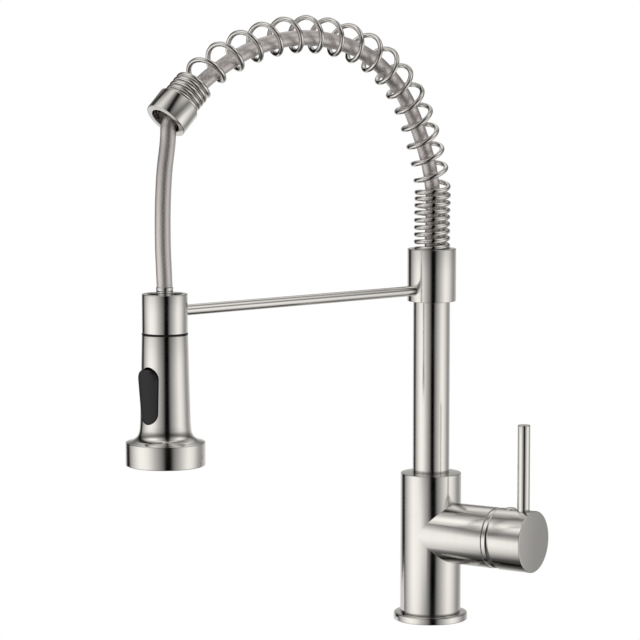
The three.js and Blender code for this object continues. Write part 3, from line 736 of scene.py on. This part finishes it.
cap = lathe("cap", [
    (0, 65.9), *dome(25.9, 65.85, CAP_START, 24),
    (CAP_R, CAP_START, 0), (CAP_R, CAP_END, 0.6), (0, CAP_END)], 160, closed=False)
move(cap, lie)
behind = block((-0.02, -0.03, -0.03), (0, 0.03, 0.03))
rear_edge = Matrix.Translation(((CAP_START + CAP_R * math.tan(CAP_SLANT)) * MM, 0, 0))
move(behind, rear_edge @ Matrix.Rotation(-CAP_SLANT, 4, "Y"))
without(
    cap,
    behind,
    block((0.0543, -0.0043, -0.0043), (0.0743, 0.0043, 0.0043)),
    move(bar("cut", 4.42, 9.5, 23, 64, 0), rod_place),
    move(bar("cut", 2.3, 0, 23, 32, 0), plug_place),
    move(bar("cut", 4.3, 17.2, 23, 64, 0), plug_place),
)
finish(move(cap, handle_frame), "lever", "brushed nickel", "handle_cap")
rod = lathe("lever_bar", [(0, 9.8), (4.3, 9.8), (4.3, 79.9, 0.9), (0, 79.9)], 64, 0.3, closed=False)
finish(move(rod, handle_frame @ rod_place), "lever", "brushed nickel", "lever_rod")
plug = lathe("plug", [
    (0, 17.5), (4.15, 17.5), (4.15, 21.1, 0.4), (3.4, 21.8, 0.8), (1.9, 22.25, 1), (0, 22.35)],
    64, 0.2, closed=False)
finish(move(plug, handle_frame @ plug_place), "lever", "brushed nickel", "indicator_plug")

# ---------------------------------------------------------------- spray head
# Heights are from the head's bottom; the rocker's middle is at BUTTON
HEAD_BOTTOM = 0.1309
BUTTON = 45.8
head_turn = Matrix.Rotation(math.radians(9), 4, "Z")
head_frame = out_there @ Matrix.Translation((0, 0, HEAD_BOTTOM)) @ head_turn
shell = lathe("wand", [
    (23.4, 0), (25.7, 0, 0.7), (25.7, 15.1, 0.5), (21.2, 16.3, 1.0), (18.1, 18.6, 2.5),
    (16.75, 22.1, 2.5), (16.3, 27.5, 2), (15.55, 55.5, 0), (14.9, 84.6, 0.4), (11, 84.6), (10.8, 88),
    (9.9, 106.2), (9.3, 106.9), (6.2, 106.9), (6.2, 85), (12.6, 81), (14, 27.5), (14.4, 22.1),
    (16.4, 18.7), (23.4, 12.7)], 160, 0.25)
# The window is longer above, where the tilting rocker rises
WINDOW_RISE = 0.45
window = prism("cut", stadium(15.2, 37.1), 12)
move(window, Matrix.Translation((0, -0.009, (BUTTON + WINDOW_RISE) * MM)))
without(shell, window)
finish(move(shell, head_frame), "spray_head", "brushed nickel", "spray_head_shell")

button = prism("rocker", stadium(14.0, 35.2, 24), 12)
move(button, Matrix.Translation((0, -0.0102, BUTTON * MM)))
skin = lathe("skin", [
    (0, 27), (16.1, 27), (16.1, 28.4), (19.5, 63.5), (19.5, 65), (0, 65)], 160, 0, closed=False)
combine(button, [skin], "INTERSECT")
soften(button, 0.7, 3, 40)
finish(move(button, head_frame), "rocker_button", "black plastic", "spray_button")


NOZZLES = 20
NOZZLE_CIRCLE = 0.0175


def nozzle_spots():
    for i in range(NOZZLES):
        a = 2 * math.pi * i / NOZZLES
        yield Matrix.Translation((NOZZLE_CIRCLE * math.cos(a), NOZZLE_CIRCLE * math.sin(a), 0))


face = lathe("face_plate", [(9.3, 0.8), (23.1, 0.8, 0.5), (23.1, 3.5), (9.3, 3.5)], 128, 0.2)
without(face, *[move(bar("cut", 1.6, -1, 5, 24, 0), spot) for spot in nozzle_spots()])
finish(move(face, head_frame), "spray_head", "black plastic", "spray_face")
pad = lathe("nozzle_pad", [(12, 3.8), (22.5, 3.8), (22.5, 5.3), (12, 5.3)], 96, 0.1)
NOZZLE = [(0, 0.8), (0.35, 0.8), (0.35, 0.2), (0.9, 0.2, 0.2), (1.3, 4.5), (0, 4.5)]
combine(pad, [
    move(lathe("cut", NOZZLE, 24, 0, closed=False), spot) for spot in nozzle_spots()
], "UNION")
finish(move(pad, head_frame), "spray_head", "rubber", "nozzle_ring")

# ---------------------------------------------------------------- hose end
ferrule = lathe("ferrule", [
    (3.2, 224.6), (4.4, 224.6), (4.4, 239.9), (5.5, 239.9), (5.5, 241.2), (5.25, 241.6, 0), (5.5, 242),
    (5.5, 243), (5.25, 243.4, 0), (5.5, 243.8), (5.5, 245.9, 0.35), (5.1, 246.1), (3.2, 246.1)], 96, 0.2)
finish(move(ferrule, out_there), "hose_end", "steel", "hose_ferrule")

# ---------------------------------------------------------------- studio
def plain(name, color, strength):
    material = bpy.data.materials.new(name)
    material.use_nodes = True
    tree = material.node_tree
    tree.nodes.clear()
    glow = add(tree, "ShaderNodeEmission")
    glow.inputs["Color"].default_value = (*color, 1)
    glow.inputs["Strength"].default_value = strength
    out = add(tree, "ShaderNodeOutputMaterial")
    tree.links.new(glow.outputs[0], out.inputs["Surface"])
    return material, tree, glow


white = plain("studio white", (1, 1, 1), 1.0)[0]


def slab(name, low, high, hole=()):
    obj = block(low, high)
    obj.name = name
    if hole:
        without(obj, *hole)
    obj.data.materials.clear()
    obj.data.materials.append(white)
    obj.visible_glossy = False


slab("deck", (-0.26, -0.46, -0.03), (0.27, 0.30, -0.0002), [
    bar("cut", 17.5, -60, 20, 96, 0), block((-0.16, -0.37, -0.1), (0.10, -0.12, 0.1)),
])
slab("floor", (-30, -30, -0.62), (30, 30, -0.60))
for obj in below:
    obj.visible_glossy = False

# A shell round the object, seen only as reflections: light panels with dark gaps. Both lists
# hold (degrees, brightness); bearings run from the camera's side, positive to the right.
BEARINGS = [
    (-180, 0.85), (-153, 0.72), (-143, 0.40), (-137, 0.02), (-120, 0.02), (-116, 0.32), (-100, 0.66),
    (-86, 0.94), (-76, 1.10), (-66, 1.14), (-51, 1.04), (-41, 0.84), (-31, 0.60), (-11, 0.24), (-5, 0.10),
    (-2, 0.0), (13, 0.0), (17, 0.10), (22, 0.25), (42, 0.62), (52, 0.82), (63, 1.02), (69, 1.07),
    (81, 0.98), (94, 0.76), (110, 0.42), (118, 0.34), (128, 0.33), (141, 0.48), (159, 0.72), (180, 0.85),
]
ELEVATIONS = [
    (-90, 0.05), (-62, 0.10), (-50, 0.42), (-37, 0.75), (-20, 1.0), (-4, 1.0), (0, 0.80), (6, 0.52),
    (13, 0.33), (19, 0.20), (25, 0.38), (32, 0.70), (38, 0.90), (44, 1.15), (50, 1.05), (56, 0.75),
    (90, 0.70),
]
WARM = (1.0, 0.985, 0.96)
NEUTRAL = (1.0, 1.0, 1.0)


def by_angle(tree, rise, run, stops, half, tint):
    angle = math_step(tree, "ARCTAN2", rise, run)
    share = math_step(tree, "MULTIPLY_ADD", angle, 0.5 / math.radians(half), 0.5)
    return ramp(tree, share, [((a + half) / (2 * half), tuple(v * t for t in tint)) for a, v in stops])


def shell_light():
    material, tree, glow = plain("studio cards", (1, 1, 1), 1.0)
    place = add(tree, "ShaderNodeSeparateXYZ")
    tree.links.new(add(tree, "ShaderNodeTexCoord").outputs["Object"], place.inputs[0])
    x, y, z = place.outputs
    squares = [math_step(tree, "MULTIPLY", side, side) for side in (x, y)]
    flat = math_step(tree, "SQRT", math_step(tree, "ADD", *squares))
    mix = add(tree, "ShaderNodeVectorMath", operation="MULTIPLY")
    tree.links.new(by_angle(tree, y, x, BEARINGS, 180, WARM), mix.inputs[0])
    tree.links.new(by_angle(tree, z, flat, ELEVATIONS, 90, NEUTRAL), mix.inputs[1])
    tree.links.new(mix.outputs[0], glow.inputs["Color"])
    return material


def only_reflected(name, material):
    """The object just added is seen in the metal's reflections and nowhere else."""
    obj = bpy.context.object
    obj.name = name
    obj.data.materials.append(material)
    obj.visible_camera = False
    obj.visible_diffuse = False
    obj.visible_shadow = False
    return obj


bpy.ops.mesh.primitive_uv_sphere_add(segments=64, ring_count=32, radius=2.4, location=(0, 0, 0.25))
cards = only_reflected("reflector_shell", shell_light())
cards.rotation_euler = (0, 0, math.atan2(toward.y, toward.x))

# A white card low on the left, seen in the lower face of the spring's end fitting
FITTING = Vector((0, -0.222, 0.358))
bpy.ops.mesh.primitive_plane_add(size=0.5, location=(-0.92, -0.12, -0.40))
card = only_reflected("low_card", plain("low card", (1, 1, 1), 0.75)[0])
card.rotation_euler = (FITTING - card.location).to_track_quat("Z", "Y").to_euler()

world = bpy.data.worlds.new("studio")
world.use_nodes = True
world.node_tree.nodes["Background"].inputs["Color"].default_value = (1, 1, 1, 1)
world.node_tree.nodes["Background"].inputs["Strength"].default_value = 1.0
bpy.context.scene.world = world
bpy.context.scene.view_settings.view_transform = "Standard"
